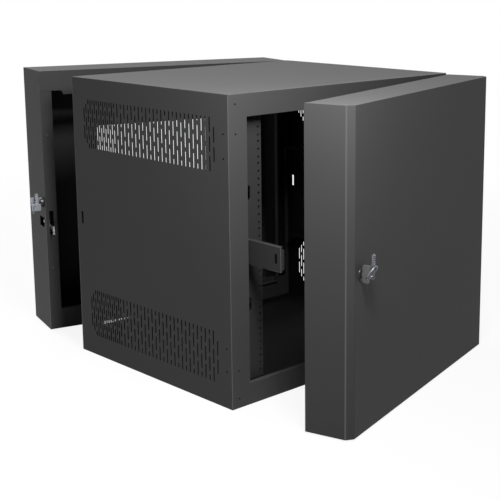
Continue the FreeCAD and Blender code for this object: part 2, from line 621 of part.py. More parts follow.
# ---------------------------------------------------------------- poses and export
def turned(x, y, degrees):
    """The placement that turns a piece about an upright line."""
    return FreeCAD.Placement(FreeCAD.Vector(0, 0, 0), FreeCAD.Rotation(FreeCAD.Vector(0, 0, 1), degrees),
                             FreeCAD.Vector(x, y, 0))


def stand_pieces():
    """Turn every piece to where its section stands: the cabinet off the wall, the door off the cabinet."""
    swing = turned(size("hinge_x"), size("swing_hinge_y"), size("swing_open"))
    door = swing.multiply(turned(size("hinge_x"), size("door_hinge_y"), size("door_open")))
    places = {"wall": FreeCAD.Placement(), "cabinet": swing, "door": door}
    places.update({"door_key": door, "door_bolt": door, "wall_key": places["wall"], "hook": places["wall"]})
    for body, section, seat in pieces:
        body.Placement = places[section].multiply(seat)
    doc.recompute()


def export_pieces():
    """Check every object and write one STEP file for each piece."""
    failed = [f"{o.Name}: {o.State}" for o in doc.Objects if "Invalid" in o.State or "Error" in o.State]
    assert not failed, failed
    os.makedirs("parts", exist_ok=True)
    for body, section, seat in pieces:
        shape = body.Shape
        assert not shape.isNull() and shape.isValid() and shape.Solids, body.Label
        shape.exportStep(f"parts/{body.Label}.step")
        print(f"{body.Label:28s} {len(shape.Solids)} solid(s) {shape.Volume / 1000:9.2f} cm3")


make_wall_section()
make_side_wall("left_side_wall", -1)
make_side_wall("right_side_wall", 1)
make_frames()
make_rack_rails()
make_lacing_bars()
make_keeper()
make_door()
make_door_lock()
make_wall_lock()
make_hinge_set("swing", "swing_hinge_y", "wall", "cabinet", "wall_front - sheet")
make_hinge_set("door", "door_hinge_y", "cabinet", "door", "front_plane - sheet")
stand_pieces()
export_pieces()
print(len(pieces), "pieces")
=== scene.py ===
# %% [markdown]
# # A swing-out wall cabinet for network equipment
# The cabinet is three folded-steel sections on upright hinges. The first step loads the packed
# model, in which each sheet, rail, lock part and hinge leaf is already a mesh in its place.

# %% load the imported model
import json
import math

import bmesh
import bpy
import numpy as np
from mathutils import Matrix


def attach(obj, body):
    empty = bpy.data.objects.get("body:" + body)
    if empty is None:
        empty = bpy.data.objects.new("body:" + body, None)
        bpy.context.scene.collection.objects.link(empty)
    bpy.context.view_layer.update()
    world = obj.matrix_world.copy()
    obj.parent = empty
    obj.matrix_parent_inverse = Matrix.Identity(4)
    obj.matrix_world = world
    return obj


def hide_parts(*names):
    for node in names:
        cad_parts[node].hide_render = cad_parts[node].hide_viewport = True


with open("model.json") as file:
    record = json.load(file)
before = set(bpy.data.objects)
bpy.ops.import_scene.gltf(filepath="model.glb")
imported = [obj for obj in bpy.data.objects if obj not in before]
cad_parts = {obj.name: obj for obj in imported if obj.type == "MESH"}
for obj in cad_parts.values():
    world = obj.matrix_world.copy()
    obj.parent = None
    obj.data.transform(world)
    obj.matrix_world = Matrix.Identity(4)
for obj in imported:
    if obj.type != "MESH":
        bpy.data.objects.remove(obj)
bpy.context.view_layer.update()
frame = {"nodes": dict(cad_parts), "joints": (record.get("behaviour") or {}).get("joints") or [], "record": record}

nodes, record = frame["nodes"], frame["record"]
joints = {joint["name"]: joint for joint in frame["joints"]}

# %% [markdown]
# ## Where each section stands
# The cabinet stands a little open from the wall section, and the door a little open from the
# cabinet. Each detail is easiest to work out on the shut cabinet, with its sheets square to the
# axes, so every section gets a rigid turn that carries shut coordinates to where it stands. The
# hinge lines and angles come from the joints themselves: a shut section is at its lower limit.

# %% section turns
def upright_turn(point, degrees):
    """Rotation by an angle about the upright line through a point: p -> R (p - c) + c."""
    a = math.radians(degrees)
    spin = np.array([[math.cos(a), -math.sin(a), 0], [math.sin(a), math.cos(a), 0], [0, 0, 1]])
    centre = np.array([point[0], point[1], 0.0])
    return spin, centre - spin @ centre


def joined(outer, inner):
    """Two turns one after the other, the inner first: R1 (R2 p + t2) + t1."""
    return outer[0] @ inner[0], outer[0] @ inner[1] + outer[1]


SWING = upright_turn(joints["body_swing"]["pos_m"], -joints["body_swing"]["range_deg"][0])
OPEN = upright_turn(joints["door_swing"]["pos_m"], -joints["door_swing"]["range_deg"][0])
TURN = {"wall_section": (np.eye(3), np.zeros(3)), "cabinet": SWING, "door": joined(OPEN, SWING)}
TURN.update({"wall_key_plug": TURN["wall_section"], "latch": TURN["wall_section"]})
TURN.update({"door_key_plug": TURN["door"], "bolt": TURN["door"]})

# the shut cabinet's planes in metres, +X right, +Y into the wall
HALF_W, HALF_H, SHEET = 0.3285, 0.317, 0.0015
WALL_FRONT, REAR, FRONT = -0.132, -0.135, -0.669
DOOR_REAR, DOOR_FRONT = -0.672, -0.771
LOCK_X, WALL_LOCK_Y = -HALF_W + 0.0365, WALL_FRONT + 0.020
KEEPER_X, HINGE_X, HINGE_Z = -HALF_W + 0.052, HALF_W + 0.0055, 0.268
print("turns ready for", sorted(TURN))

# %% [markdown]
# ## Putting a surface into the scene
# Every new piece is an array of points and a list of faces. This helper turns the points from the
# shut cabinet to where their section stands, makes the mesh, and lets it ride on that section. The
# second helper makes the faces of a grid, which may close on itself along either direction.

# %% mesh helpers
def add_piece(name, body, points, faces, material, smooth=True, slot=None):
    """A mesh piece given in shut coordinates, in metres, that rides on a body."""
    spin, shift = TURN[body]
    mesh = bpy.data.meshes.new(name)
    placed = np.asarray(points, float) @ spin.T + shift
    mesh.from_pydata(placed.tolist(), [], [list(map(int, f)) for f in faces])
    mesh.materials.append(material)
    mesh.polygons.foreach_set("use_smooth", [smooth] * len(mesh.polygons))
    made = bmesh.new()
    made.from_mesh(mesh)
    bmesh.ops.remove_doubles(made, verts=made.verts, dist=1e-7)
    bmesh.ops.recalc_face_normals(made, faces=made.faces)
    made.to_mesh(mesh)
    made.free()
    mesh.update()
    obj = bpy.data.objects.new(name, mesh)
    bpy.context.scene.collection.objects.link(obj)
    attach(obj, body)
    return obj


def grid_faces(rows, columns, wrap_rows=False, wrap_columns=False):
    """Quads between neighbouring points of a rows x columns grid."""
    r = np.arange(rows if wrap_rows else rows - 1)
    c = np.arange(columns if wrap_columns else columns - 1)
    r, c = np.meshgrid(r, c, indexing="ij")
    r1, c1 = (r + 1) % rows, (c + 1) % columns
    quads = np.stack([r * columns + c, r1 * columns + c, r1 * columns + c1, r * columns + c1], -1)
    return quads.reshape(-1, 4)


def basis(axis):
    """Two unit directions square to an axis."""
    axis = np.asarray(axis, float) / np.linalg.norm(axis)
    side = np.cross(axis, (0, 0, 1) if abs(axis[2]) < 0.9 else (1, 0, 0))
    side /= np.linalg.norm(side)
    return axis, side, np.cross(axis, side)


def turned_form(centre, axis, profile, segments=24, tube=False):
    """A lathe form: profile rows (radius, height) carried round an axis, r (cos t, sin t) + h along it.
    A tube's profile closes on itself; otherwise open ends get a flat cap."""
    axis, u, v = basis(axis)
    angle = np.linspace(0, 2 * np.pi, segments, endpoint=False)
    ring = np.cos(angle)[:, None] * u + np.sin(angle)[:, None] * v
    profile = np.asarray(profile, float)
    points = np.asarray(centre) + profile[:, 0, None, None] * ring + profile[:, 1, None, None] * axis
    faces = grid_faces(len(profile), segments, wrap_rows=tube, wrap_columns=True).tolist()
    if tube:
        return points.reshape(-1, 3), faces
    last = (len(profile) - 1) * segments
    ends = [list(range(segments))[::-1], list(range(last, last + segments))]
    return points.reshape(-1, 3), faces + [e for e, r in zip(ends, profile[[0, -1], 0]) if r > 1e-6]


def joined_parts(parts):
    """Several point and face lists made one."""
    points, faces, start = [], [], 0
    for p, f in parts:
        points.append(np.asarray(p, float))
        faces += [[i + start for i in face] for face in f]
        start += len(p)
    return np.concatenate(points), faces


print("a grid of 3 x 4 points has", len(grid_faces(3, 4)), "faces")

# %% [markdown]
# ## Flat plates with holes
# Most pieces of a cabinet are sheet metal: an outline with holes, as thick as the sheet. A flat
# curve fills an outline round its holes by itself, which is simpler than joining slots and corners
# by hand. The helpers below give the loops that a punch leaves: round ends, corners and holes.

# %% plates and outlines
def plate(outline, holes, normal_axis, low, high):
    """A flat plate with holes: outline and holes are loops of (a, b), carried from low to high along
    the axis x or y. The curve that fills the outline is made a mesh, and its points are mapped:
    x plates take (a, b) as (y, z), and y plates take (a, b) as (x, z)."""
    curve = bpy.data.curves.new("plate", "CURVE")
    curve.dimensions, curve.fill_mode = "2D", "BOTH"
    curve.extrude = (high - low) / 2
    for loop in [outline] + holes:
        spline = curve.splines.new("POLY")
        spline.points.add(len(loop) - 1)
        flat = np.zeros((len(loop), 4))
        flat[:, :2], flat[:, 3] = loop, 1
        spline.points.foreach_set("co", flat.ravel())
        spline.use_cyclic_u = True
    holder = bpy.data.objects.new("plate", curve)
    bpy.context.scene.collection.objects.link(holder)
    bpy.context.view_layer.update()
    mesh = bpy.data.meshes.new_from_object(holder)
    flat = np.zeros(len(mesh.vertices) * 3)
    mesh.vertices.foreach_get("co", flat)
    flat = flat.reshape(-1, 3)
    middle = (high + low) / 2
    if normal_axis == "x":
        points = np.stack([flat[:, 2] + middle, flat[:, 0], flat[:, 1]], 1)
    else:
        points = np.stack([flat[:, 0], flat[:, 2] + middle, flat[:, 1]], 1)
    faces = [list(p.vertices) for p in mesh.polygons]
    bpy.data.objects.remove(holder)
    bpy.data.curves.remove(curve)
    bpy.data.meshes.remove(mesh)
    return points, faces


def rounded_slot(a, b, width, height, steps=5):
    """Outline of an upright slot with round ends, centred at (a, b)."""
    r = width / 2
    angle = np.linspace(0, np.pi, steps + 1)
    top = np.stack([a + r * np.cos(angle), b + height / 2 - r + r * np.sin(angle)], 1)
    low = np.stack([a - r * np.cos(angle), b - height / 2 + r - r * np.sin(angle)], 1)
    return np.concatenate([top, low])


def rounded_rect(a0, b0, a1, b1, radius, steps=5):
    """Outline of a rectangle with round corners between two opposite corners."""
    t = np.linspace(0, np.pi / 2, steps)
    arc = radius * np.stack([np.cos(t), np.sin(t)], 1)
    corners = []
    for turn, (a, b) in enumerate(((a1 - radius, b1 - radius), (a0 + radius, b1 - radius),
                                   (a0 + radius, b0 + radius), (a1 - radius, b0 + radius))):
        c, s = round(math.cos(turn * math.pi / 2)), round(math.sin(turn * math.pi / 2))
        corners.append(arc @ np.array([[c, s], [-s, c]]) + (a, b))
    return np.concatenate(corners)


def circle_loop(a, b, radius, count=14):
    """Outline of a round hole."""
    t = np.linspace(0, 2 * np.pi, count, endpoint=False)
    return np.stack([a + radius * np.cos(t), b + radius * np.sin(t)], 1)


print("a slot's outline has", len(rounded_slot(0, 0, 0.0036, 0.0309)), "points")

# %% [markdown]
# ## Powder coat, plate and rubber
# Fine black powder coat isn't smooth: it cures with a faint orange peel and a sparse sparkle of
# grain. One node group makes that surface from two noises, a fine one for grain and a broad one for
# a slight drift of tone, and every coated or plated finish uses it with its own numbers.

# %% shared surface group
def socket(group, name, kind, way, value=None):
    """One named input or output of a node group."""
    made = group.interface.new_socket(name=name, in_out=way, socket_type="NodeSocket" + kind)
    if value is not None:
        made.default_value = value
    return made


def make_surface_group():
    """Two noises on Object coordinates: colour x (1 + drift), roughness + spread, and a bump height."""
    group = bpy.data.node_groups.new("coated surface", "ShaderNodeTree")
    socket(group, "Color", "Color", "INPUT", (0.02, 0.02, 0.02, 1))
    for name, value in (("Grain scale", 900.0), ("Drift scale", 6.0), ("Drift", 0.1),
                        ("Roughness", 0.4), ("Roughness spread", 0.08)):
        socket(group, name, "Float", "INPUT", value)
    socket(group, "Color", "Color", "OUTPUT")
    socket(group, "Roughness", "Float", "OUTPUT")
    socket(group, "Height", "Float", "OUTPUT")
    tree = group.nodes
    start, end = tree.new("NodeGroupInput"), tree.new("NodeGroupOutput")
    place = tree.new("ShaderNodeTexCoord")
    grain, drift = tree.new("ShaderNodeTexNoise"), tree.new("ShaderNodeTexNoise")
    grain.inputs["Detail"].default_value = 3
    drift.inputs["Detail"].default_value = 4
    link = group.links.new
    for noise, scale in ((grain, "Grain scale"), (drift, "Drift scale")):
        link(place.outputs["Object"], noise.inputs["Vector"])
        link(start.outputs[scale], noise.inputs["Scale"])
    centre = tree.new("ShaderNodeMath")
    centre.operation = "SUBTRACT"
    centre.inputs[1].default_value = 0.5
    link(drift.outputs["Fac"], centre.inputs[0])
    amount = tree.new("ShaderNodeMath")
    amount.operation = "MULTIPLY_ADD"
    amount.inputs[2].default_value = 1.0
    link(centre.outputs[0], amount.inputs[0])
    link(start.outputs["Drift"], amount.inputs[1])
    tone = tree.new("ShaderNodeVectorMath")
    tone.operation = "SCALE"
    link(start.outputs["Color"], tone.inputs[0])
    link(amount.outputs[0], tone.inputs["Scale"])
    link(tone.outputs[0], end.inputs["Color"])
    grain_centre = tree.new("ShaderNodeMath")
    grain_centre.operation = "SUBTRACT"
    grain_centre.inputs[1].default_value = 0.5
    link(grain.outputs["Fac"], grain_centre.inputs[0])
    rough = tree.new("ShaderNodeMath")
    rough.operation = "MULTIPLY_ADD"
    link(grain_centre.outputs[0], rough.inputs[0])
    link(start.outputs["Roughness spread"], rough.inputs[1])
    link(start.outputs["Roughness"], rough.inputs[2])
    link(rough.outputs[0], end.inputs["Roughness"])
    link(grain.outputs["Fac"], end.inputs["Height"])
    return group


SURFACE = make_surface_group()
print("surface group inputs", [item.name for item in SURFACE.interface.items_tree][3:])

# %% [markdown]
# ## The finishes of the cabinet
# The same black coat comes in lit and shaded copies. On the outer edge of a fold it is smoother and
# glossier, with a lighter colour as a painted highlight. On inner faces, rails and the keeper its
# colour is darker, as painted shade. Lock cylinders are blackened steel, lock cases and bolts are zinc
# plated, and keys are nickel. Each finish is one material with its own numbers for the shared group,
# and every node gets the finish that its slot asks for, unless OWN names another one.

# %% finishes
def make_finish(name, color, roughness, metallic=0.0, specular=0.5, grain=900.0, bump=0.02, drift=0.15,
                spread=0.08):
    """A Principled material whose colour, roughness and bump come from the coated surface group."""
    material = bpy.data.materials.new(name)
    material.use_nodes = True
    tree, link = material.node_tree.nodes, material.node_tree.links.new
    shader = tree["Principled BSDF"]
    shader.inputs["Metallic"].default_value = metallic
    shader.inputs["Specular IOR Level"].default_value = specular
    cover = tree.new("ShaderNodeGroup")
    cover.node_tree = SURFACE
    cover.inputs["Color"].default_value = (*color, 1)
    cover.inputs["Grain scale"].default_value = grain
    cover.inputs["Drift"].default_value = drift
    cover.inputs["Roughness"].default_value = roughness
    cover.inputs["Roughness spread"].default_value = spread
    relief = tree.new("ShaderNodeBump")
    relief.inputs["Strength"].default_value = bump
    relief.inputs["Distance"].default_value = 0.0005
    link(cover.outputs["Color"], shader.inputs["Base Color"])
    link(cover.outputs["Roughness"], shader.inputs["Roughness"])
    link(cover.outputs["Height"], relief.inputs["Height"])
    link(relief.outputs["Normal"], shader.inputs["Normal"])
    return material


COAT = make_finish("black powder coat", (0.031, 0.031, 0.0315), 0.5, specular=0.06, bump=0.1)
# painted highlight: a lighter, glossier copy of the coat for the rounds of the folds
FOLD_HIGHLIGHT = make_finish("painted highlight on a fold", (0.036, 0.036, 0.0365), 0.22, specular=0.55, bump=0.03)
# painted shade: a darker copy of the coat for the rails and the door keeper
RAIL_SHADE_COAT = make_finish("painted shade on rails and keeper", (0.019, 0.019, 0.0193), 0.5, specular=0.06, bump=0.1)
# painted shade: a near-black copy of the coat for faces inside the cabinet
INNER_SHADE_COAT = make_finish("painted shade inside the cabinet", (0.006, 0.006, 0.0063), 0.5, specular=0.03, bump=0.1)
ZINC = make_finish("bright zinc plate", (0.55, 0.55, 0.56), 0.3, 1.0, grain=300.0, bump=0.1, spread=0.2)
KEY_METAL = make_finish("nickel key", (0.24, 0.25, 0.28), 0.45, 0.8, grain=500.0, bump=0.12, spread=0.2)
BOW = make_finish("grey key bow", (0.07, 0.07, 0.072), 0.5, 0.3, specular=0.4, grain=700.0, bump=0.1)
RUBBER = make_finish("moulded rubber", (0.02, 0.02, 0.02), 0.7, specular=0.3, grain=400.0, bump=0.2)
BLACK_SCREW = make_finish("black oxide screw", (0.03, 0.03, 0.032), 0.35, 0.6, bump=0.1)
FINISH = {"powder_coat": COAT, "zinc": ZINC, "nickel": KEY_METAL, "rubber": RUBBER}
slots = {row["node"]: row["material_slot"] for row in record["subparts"]}
# the latch bracket, rail supports and lacing get the near-black coat as painted shade
OWN = {"latch_bracket": INNER_SHADE_COAT, "door_lock_plug": BLACK_SCREW, "wall_lock_plug": BLACK_SCREW}
OWN.update({name: INNER_SHADE_COAT for name in nodes if "rail_supports" in name or "lacing" in name})
# rails and door keeper get the darker coat as painted shade
OWN.update({name: RAIL_SHADE_COAT for name in ("left_rack_rail", "right_rack_rail", "door_keeper")})
for name, obj in nodes.items():
    obj.data.materials.clear()
    obj.data.materials.append(OWN.get(name, FINISH[slots[name]]))
print("finishes on", len(nodes), "nodes")

# %% [markdown]
# ## The vented side walls
# Air reaches the equipment through two fields of upright slots in each side wall. The columns
# stagger: one has three full slots, and the next has two with a short one above and below. Behind
# the wide field a closer-pitched band runs to the rear edge. Each wall is one flat sheet filled
# between its outline and its slots, with round slot ends as a punch leaves them.

# %% vented walls
SLOT_W, SLOT_L, PERIOD, EDGE = 0.0036, 0.0309, 0.0385, 0.0468
FRONT_COLUMNS, FRONT_PITCH, FRONT_START = 26, 0.01285, 0.1693
REAR_COLUMNS, REAR_PITCH, REAR_START = 15, 0.0081, 0.044
STUB, SHORTENED = 0.0112, 0.010
REAR_SLOT = np.array([(-0.024, -0.014), (-0.0175, -0.014), (-0.0175, 0.014), (-0.024, 0.014)])
SCREW_HOLE, SCREW_IN, SCREW_UP = 0.0021, 0.0155, (0.1915, 0.2395)


def vent_column(y, kind, short=0.0):
    """Slots of one column, in both fields: (middle y, low z, high z), z measured down from the top."""
    if kind == "three":
        spans = [(EDGE + i * PERIOD, EDGE + i * PERIOD + SLOT_L) for i in range(3)]
        spans[0] = (spans[0][0] + short, spans[0][1])
        spans[2] = (spans[2][0], spans[2][1] - short)
    else:
        spans = [(EDGE + (i + 0.5) * PERIOD, EDGE + (i + 0.5) * PERIOD + SLOT_L) for i in range(2)]
        if kind == "stubs":
            spans += [(EDGE, EDGE + STUB), (EDGE + 2.5 * PERIOD, EDGE + 2 * PERIOD + SLOT_L)]
    upper = [(y, HALF_H - b, HALF_H - a) for a, b in spans]
    return upper + [(y, -high, -low) for y, low, high in upper]


def vent_slots():
    """Every slot of a wall: column i stands at start + i x pitch, and each field has its own pitch."""
    found = []
    for i in range(FRONT_COLUMNS):
        kind = "three" if i % 2 == 0 else ("two" if i == FRONT_COLUMNS - 1 else "stubs")
        found += vent_column(REAR - FRONT_START - i * FRONT_PITCH, kind)
    for i in range(REAR_COLUMNS):
        kind = "three" if i % 2 else ("two" if i == 0 else "stubs")
        found += vent_column(REAR - REAR_START - i * REAR_PITCH, kind, SHORTENED if i == 1 else 0.0)
    return found


def vented_wall(name, side):
    """The flat side wall with its slots, its rear slot and its frame screw holes. The outer face has the
    black coat, and the inner face and the cut edges have a near-black coat that is painted shade."""
    y0, y1, z = FRONT + SHEET, REAR - SHEET, HALF_H - SHEET
    outline = np.array([(y0, -z), (y1, -z), (y1, z), (y0, z)])
    holes = [rounded_slot(y, (low + high) / 2, SLOT_W, high - low) for y, low, high in vent_slots()]
    holes.append(REAR_SLOT + (REAR, 0))
    holes += [circle_loop(FRONT + SCREW_IN, s * z, SCREW_HOLE) for s in (1, -1) for z in SCREW_UP]
    low = -HALF_W if side < 0 else HALF_W - SHEET
    points, faces = plate(outline, holes, "x", low, low + SHEET)
    wall = add_piece(f"{name}_sheet", "cabinet", points, faces, COAT, smooth=False, slot="powder_coat")
    wall.data.materials.append(INNER_SHADE_COAT)
    outwards = side * TURN["cabinet"][0][:, 0]
    # painted shade: the inner face and the cut edges get the near-black coat
    for polygon in wall.data.polygons:
        polygon.material_index = int(np.dot(polygon.normal, outwards) < 0.9)
    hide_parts(name)
    return len(holes)


for wall_name, wall_side in (("left_side_wall", -1), ("right_side_wall", 1)):
    print(wall_name, "holes", vented_wall(wall_name, wall_side))

# %% [markdown]
# ## Folds that catch the light
# A press brake leaves a small radius on the outside of every fold, and it shows as a thin bright
# line round the front of the cabinet and the door. Each folded sheet is copied from its node, its
# outer edges get a bevel of that radius, and the copy stands for the node. The chosen rounds get a
# lighter, glossier copy of the coat, so the bright line is partly a painted highlight.

# %% soft folds
SHARP = math.radians(32)


def paint_shade_inside(mesh):
    """The upper face of the bottom sheet gets the near-black coat of painted shade, as a third material."""
    mesh.materials.append(INNER_SHADE_COAT)
    for polygon in mesh.polygons:
        if polygon.normal.z > 0.9 and polygon.center.z < 1e-3 - HALF_H + SHEET:
            polygon.material_index = 2


def soft_folds(node, body, width, keep, highlight_test=lambda middle: True, segments=3):
    """A copy of a node with a bevel on the edges that keep(a, b) accepts, in shut coordinates: an edge
    becomes a round of so many segments, as wide as the fold. The faces of the round whose middle
    the last test accepts get the fold coat, a lighter and glossier copy that is a painted highlight."""
    spin, shift = TURN[body]
    mesh = nodes[node].data.copy()
    made = bmesh.new()
    made.from_mesh(mesh)
    bmesh.ops.remove_doubles(made, verts=made.verts, dist=1e-6)
    bmesh.ops.dissolve_limit(made, angle_limit=0.01, verts=made.verts, edges=made.edges)
    mesh.materials.append(FOLD_HIGHLIGHT)
    shut = {v: spin.T @ (np.array(v.co) - shift) for v in made.verts}
    folds = [e for e in made.edges if keep(*(shut[v] for v in e.verts))]
    bmesh.ops.bevel(made, geom=folds, offset=width, segments=segments, profile=0.5, affect="EDGES",
                    clamp_overlap=True, material=1)
    for face in made.faces:
        face.smooth = True
        # rounds that the last test turns down lose the painted highlight and keep the plain coat
        middle = spin.T @ (np.array(face.calc_center_median()) - shift)
        if face.material_index == 1 and not highlight_test(middle):
            face.material_index = 0
    for edge in made.edges:
        edge.smooth = edge.calc_face_angle(math.pi) < SHARP
    made.to_mesh(mesh)
    made.free()
    mesh.name = f"{node}_folded"
    if node == "bottom_panel":
        paint_shade_inside(mesh)
    obj = bpy.data.objects.new(f"{node}_folded", mesh)
    bpy.context.scene.collection.objects.link(obj)
    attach(obj, body)
    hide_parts(node)
    flats = obj.modifiers.new("flat faces lead", "WEIGHTED_NORMAL")
    flats.weight, flats.keep_sharp = 90, True
    return len(folds)


print("edges stay sharp past", round(math.degrees(SHARP)), "degrees")

# %% [markdown]
# ## Which edges are folds
# A fold of the shut cabinet lies where two outside planes meet. So a fold is picked by a test: both
# ends of the edge lie on a plane, or on two planes at once. The tests are joined with both and
# either, and the table FOLDS says for each sheet which section it rides on, how wide its folds are,
# which edges they are and, for some sheets, which rounds get the painted highlight. On the top only
# the front edge gets it, and on the door only the outer line of the chamfer; other rounds keep the plain coat.

# %% fold table
def on_plane(index, value):
    """A test that both ends of an edge lie on a plane."""
    return lambda a, b: abs(a[index] - value) < 1e-5 and abs(b[index] - value) < 1e-5


def both(*tests):
    """A test that passes where all the given tests pass."""
    return lambda a, b: all(test(a, b) for test in tests)


def either(*tests):
    """A test that passes where one of the given tests passes."""
    return lambda a, b: any(test(a, b) for test in tests)


FOLD_R, DOOR_FOLD_R, KEEPER_FOLD_R = 0.0011, 0.0016, 0.0009
TRIM, RIM_HEIGHT, DOOR_CORNER = 0.001, 0.0465, 0.0125
KEEPER_HALF_H, KEEPER_REACH = 0.0255, 0.089
FOLDS = {}
for word, side in (("left", -1), ("right", 1)):
    edge = on_plane(0, side * HALF_W)
    FOLDS[f"front_{word}_post"] = ("cabinet", FOLD_R, both(edge, on_plane(1, FRONT)))
    FOLDS[f"rear_{word}_post"] = ("cabinet", FOLD_R, both(edge, on_plane(1, REAR)))
    FOLDS[f"wall_{word}_side"] = ("wall_section", FOLD_R, both(edge, on_plane(1, WALL_FRONT)))
for word, side in (("top", 1), ("bottom", -1)):
    rims = both(on_plane(2, side * (HALF_H - RIM_HEIGHT)), on_plane(1, FRONT))
    FOLDS[f"front_{word}_rim"] = ("cabinet", FOLD_R, rims)
    FOLDS[f"{word}_panel"] = ("cabinet", FOLD_R, on_plane(2, side * HALF_H),
                              lambda middle: middle[1] < FRONT + 2 * SHEET)
    wall_edge = both(on_plane(2, side * (HALF_H - TRIM)), on_plane(1, WALL_FRONT))
    FOLDS[f"wall_{word}"] = ("wall_section", FOLD_R, wall_edge)
corners = [both(on_plane(0, side * x), on_plane(1, y)) for side in (-1, 1)
           for x, y in ((HALF_W, DOOR_FRONT + DOOR_CORNER), (HALF_W - DOOR_CORNER, DOOR_FRONT))]
FOLDS["door_skin"] = ("door", DOOR_FOLD_R, either(*corners),
                      lambda middle: middle[1] > DOOR_FRONT + DOOR_CORNER / 2)
keeper_rims = [both(on_plane(0, KEEPER_X), on_plane(2, side * KEEPER_HALF_H)) for side in (-1, 1)]
keeper_tip = both(on_plane(0, KEEPER_X), on_plane(1, FRONT - KEEPER_REACH))
FOLDS["door_keeper"] = ("cabinet", KEEPER_FOLD_R, either(*keeper_rims, keeper_tip))
for node, fold in FOLDS.items():
    print(node, "folds", soft_folds(node, *fold))

# %% [markdown]
# ## The lock cylinders
# Both locks are turned pieces: a rounded flange lies on the sheet, and a threaded barrel goes
# through it to the nut or case behind. A turned piece is a profile carried round an axis, so the
# flange, the threads and the bore are one closed profile.

# %% lock cylinders
def lock_cylinder(node, body, centre, outwards, flange, depth):
    """A lock's housing as a closed profile (radius, height) round its axis. The thread is a zigzag of
    half turns, each of them half a pitch higher, between the barrel's radius and a little less."""
    bore, rim, barrel, edge = 0.0062, 0.012, 0.009, 0.0006
    half_pitch, cut = 0.0005, 0.0004
    threads = [(barrel - (cut if i % 2 else 0.0), -depth + 0.0002 + i * half_pitch)
               for i in range(int((depth - 2 * half_pitch) / half_pitch))]
    lip = [(rim, 0.0), (rim, flange - edge), (rim - edge * 0.3, flange - edge * 0.3),
           (rim - edge, flange)]
    profile = [(bore, -depth)] + threads + [(barrel, 0.0)] + lip
    profile += [(bore + edge, flange), (bore, flange - edge)]
    points, faces = turned_form(centre, outwards, profile, 48, tube=True)
    made = add_piece(f"{node}_turned", body, points, faces, BLACK_SCREW, slot="zinc")
    made.modifiers.new("sharp edges", "EDGE_SPLIT").split_angle = math.radians(40)
    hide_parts(node)


lock_cylinder("door_lock_cylinder", "door", (LOCK_X, DOOR_FRONT, 0), (0, -1, 0), 0.0016, 0.021)
lock_cylinder("wall_lock_cylinder", "wall_section", (-HALF_W, WALL_LOCK_Y, 0), (-1, 0, 0), 0.008, 0.007)
print("lock cylinders done")

# %% [markdown]
# ## Keys and split rings
# A key is a stamped flat bow with a round hole, and the part that stands in the plug is a narrower
# neck. Its split ring is one flat wire wound twice, and the second key hangs on it with its cut
# blade up. Each bow and blade is a filled outline, and the ring is a wire carried along a coil.

# %% key and ring helpers
def key_blade(a0, a1, low, high, teeth, depth):
    """A blade standing up between a0 and a1, with V cuts along its a1 side and a slanted tip. Every
    second point goes in by the depth x (1 + 0.35 sin 3i), so no two cuts are equally deep."""
    z = np.linspace(low + 0.002, high - 0.004, 2 * teeth + 1)
    i = np.arange(len(z))
    cut = np.where(i % 2, depth, 0.0) * (1 + 0.35 * np.sin(3.0 * i))
    toothed = np.stack([a1 - np.sign(a1 - a0) * cut, z], 1)
    tip = [((a0 + a1) / 2, high), (a0, high - 0.003)]
    return np.concatenate([[(a0, low), (a1, low)], toothed, tip])


def key_piece(node, body, outlines, holes, axis, low, high, material, slot, blade_from=1.0):
    """A key made of flat outlines with softened edges, the first one with the holes. Above the height
    blade_from it is bare metal."""
    inset = 0.0002
    parts = [plate(np.asarray(outline), holes if i == 0 else [], axis, low + inset * i, high - inset * i)
             for i, outline in enumerate(outlines)]
    made = add_piece(f"{node}_cut", body, *joined_parts(parts), material, smooth=False, slot=slot)
    made.data.materials.append(KEY_METAL)
    for polygon in made.data.polygons:
        polygon.material_index = int(polygon.center.z > blade_from)
    soft = made.modifiers.new("stamped edge", "BEVEL")
    soft.width, soft.segments, soft.limit_method = 0.00025, 2, "ANGLE"
    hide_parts(node)


def split_ring(node, body, centre, e1, e2, radius, wire, thickness):
    """A flat wire wound twice: centre + (R + r cos p)(cos t e1 + sin t e2) + (h sin p + rise) n."""
    e1, e2 = np.asarray(e1, float), np.asarray(e2, float)
    normal = np.cross(e1, e2)
    steps, around, split = 110, 10, 0.35
    t = np.linspace(0, 4 * np.pi - split, steps)[:, None]
    p = np.linspace(0, 2 * np.pi, around, endpoint=False)[None, :]
    rise = thickness / 4 * np.clip((t - 2 * np.pi) / 0.5, -1, 1)
    outward = np.cos(t)[..., None] * e1 + np.sin(t)[..., None] * e2
    across = (radius + wire * np.cos(p))[..., None] * outward
    points = np.asarray(centre) + across + (thickness / 4 * np.sin(p) + rise)[..., None] * normal
    faces = grid_faces(steps, around, wrap_columns=True).tolist()
    faces += [list(range(around))[::-1], list(range((steps - 1) * around, steps * around))]
    made = add_piece(f"{node}_coil", body, points.reshape(-1, 3), faces, KEY_METAL, slot="nickel")
    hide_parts(node)


print("a blade with 5 cuts has", len(key_blade(0, 0.0078, 0.0126, 0.036, 5, 0.0042)), "points")

# %% [markdown]
# ## The keys of both locks
# The door's keys stand in front of the door, and their flat sides face sideways. The ring leans,
# because it hangs on the edge of the bow. The wall lock's keys stand out from the side of the wall
# section, and their flat sides face the front.

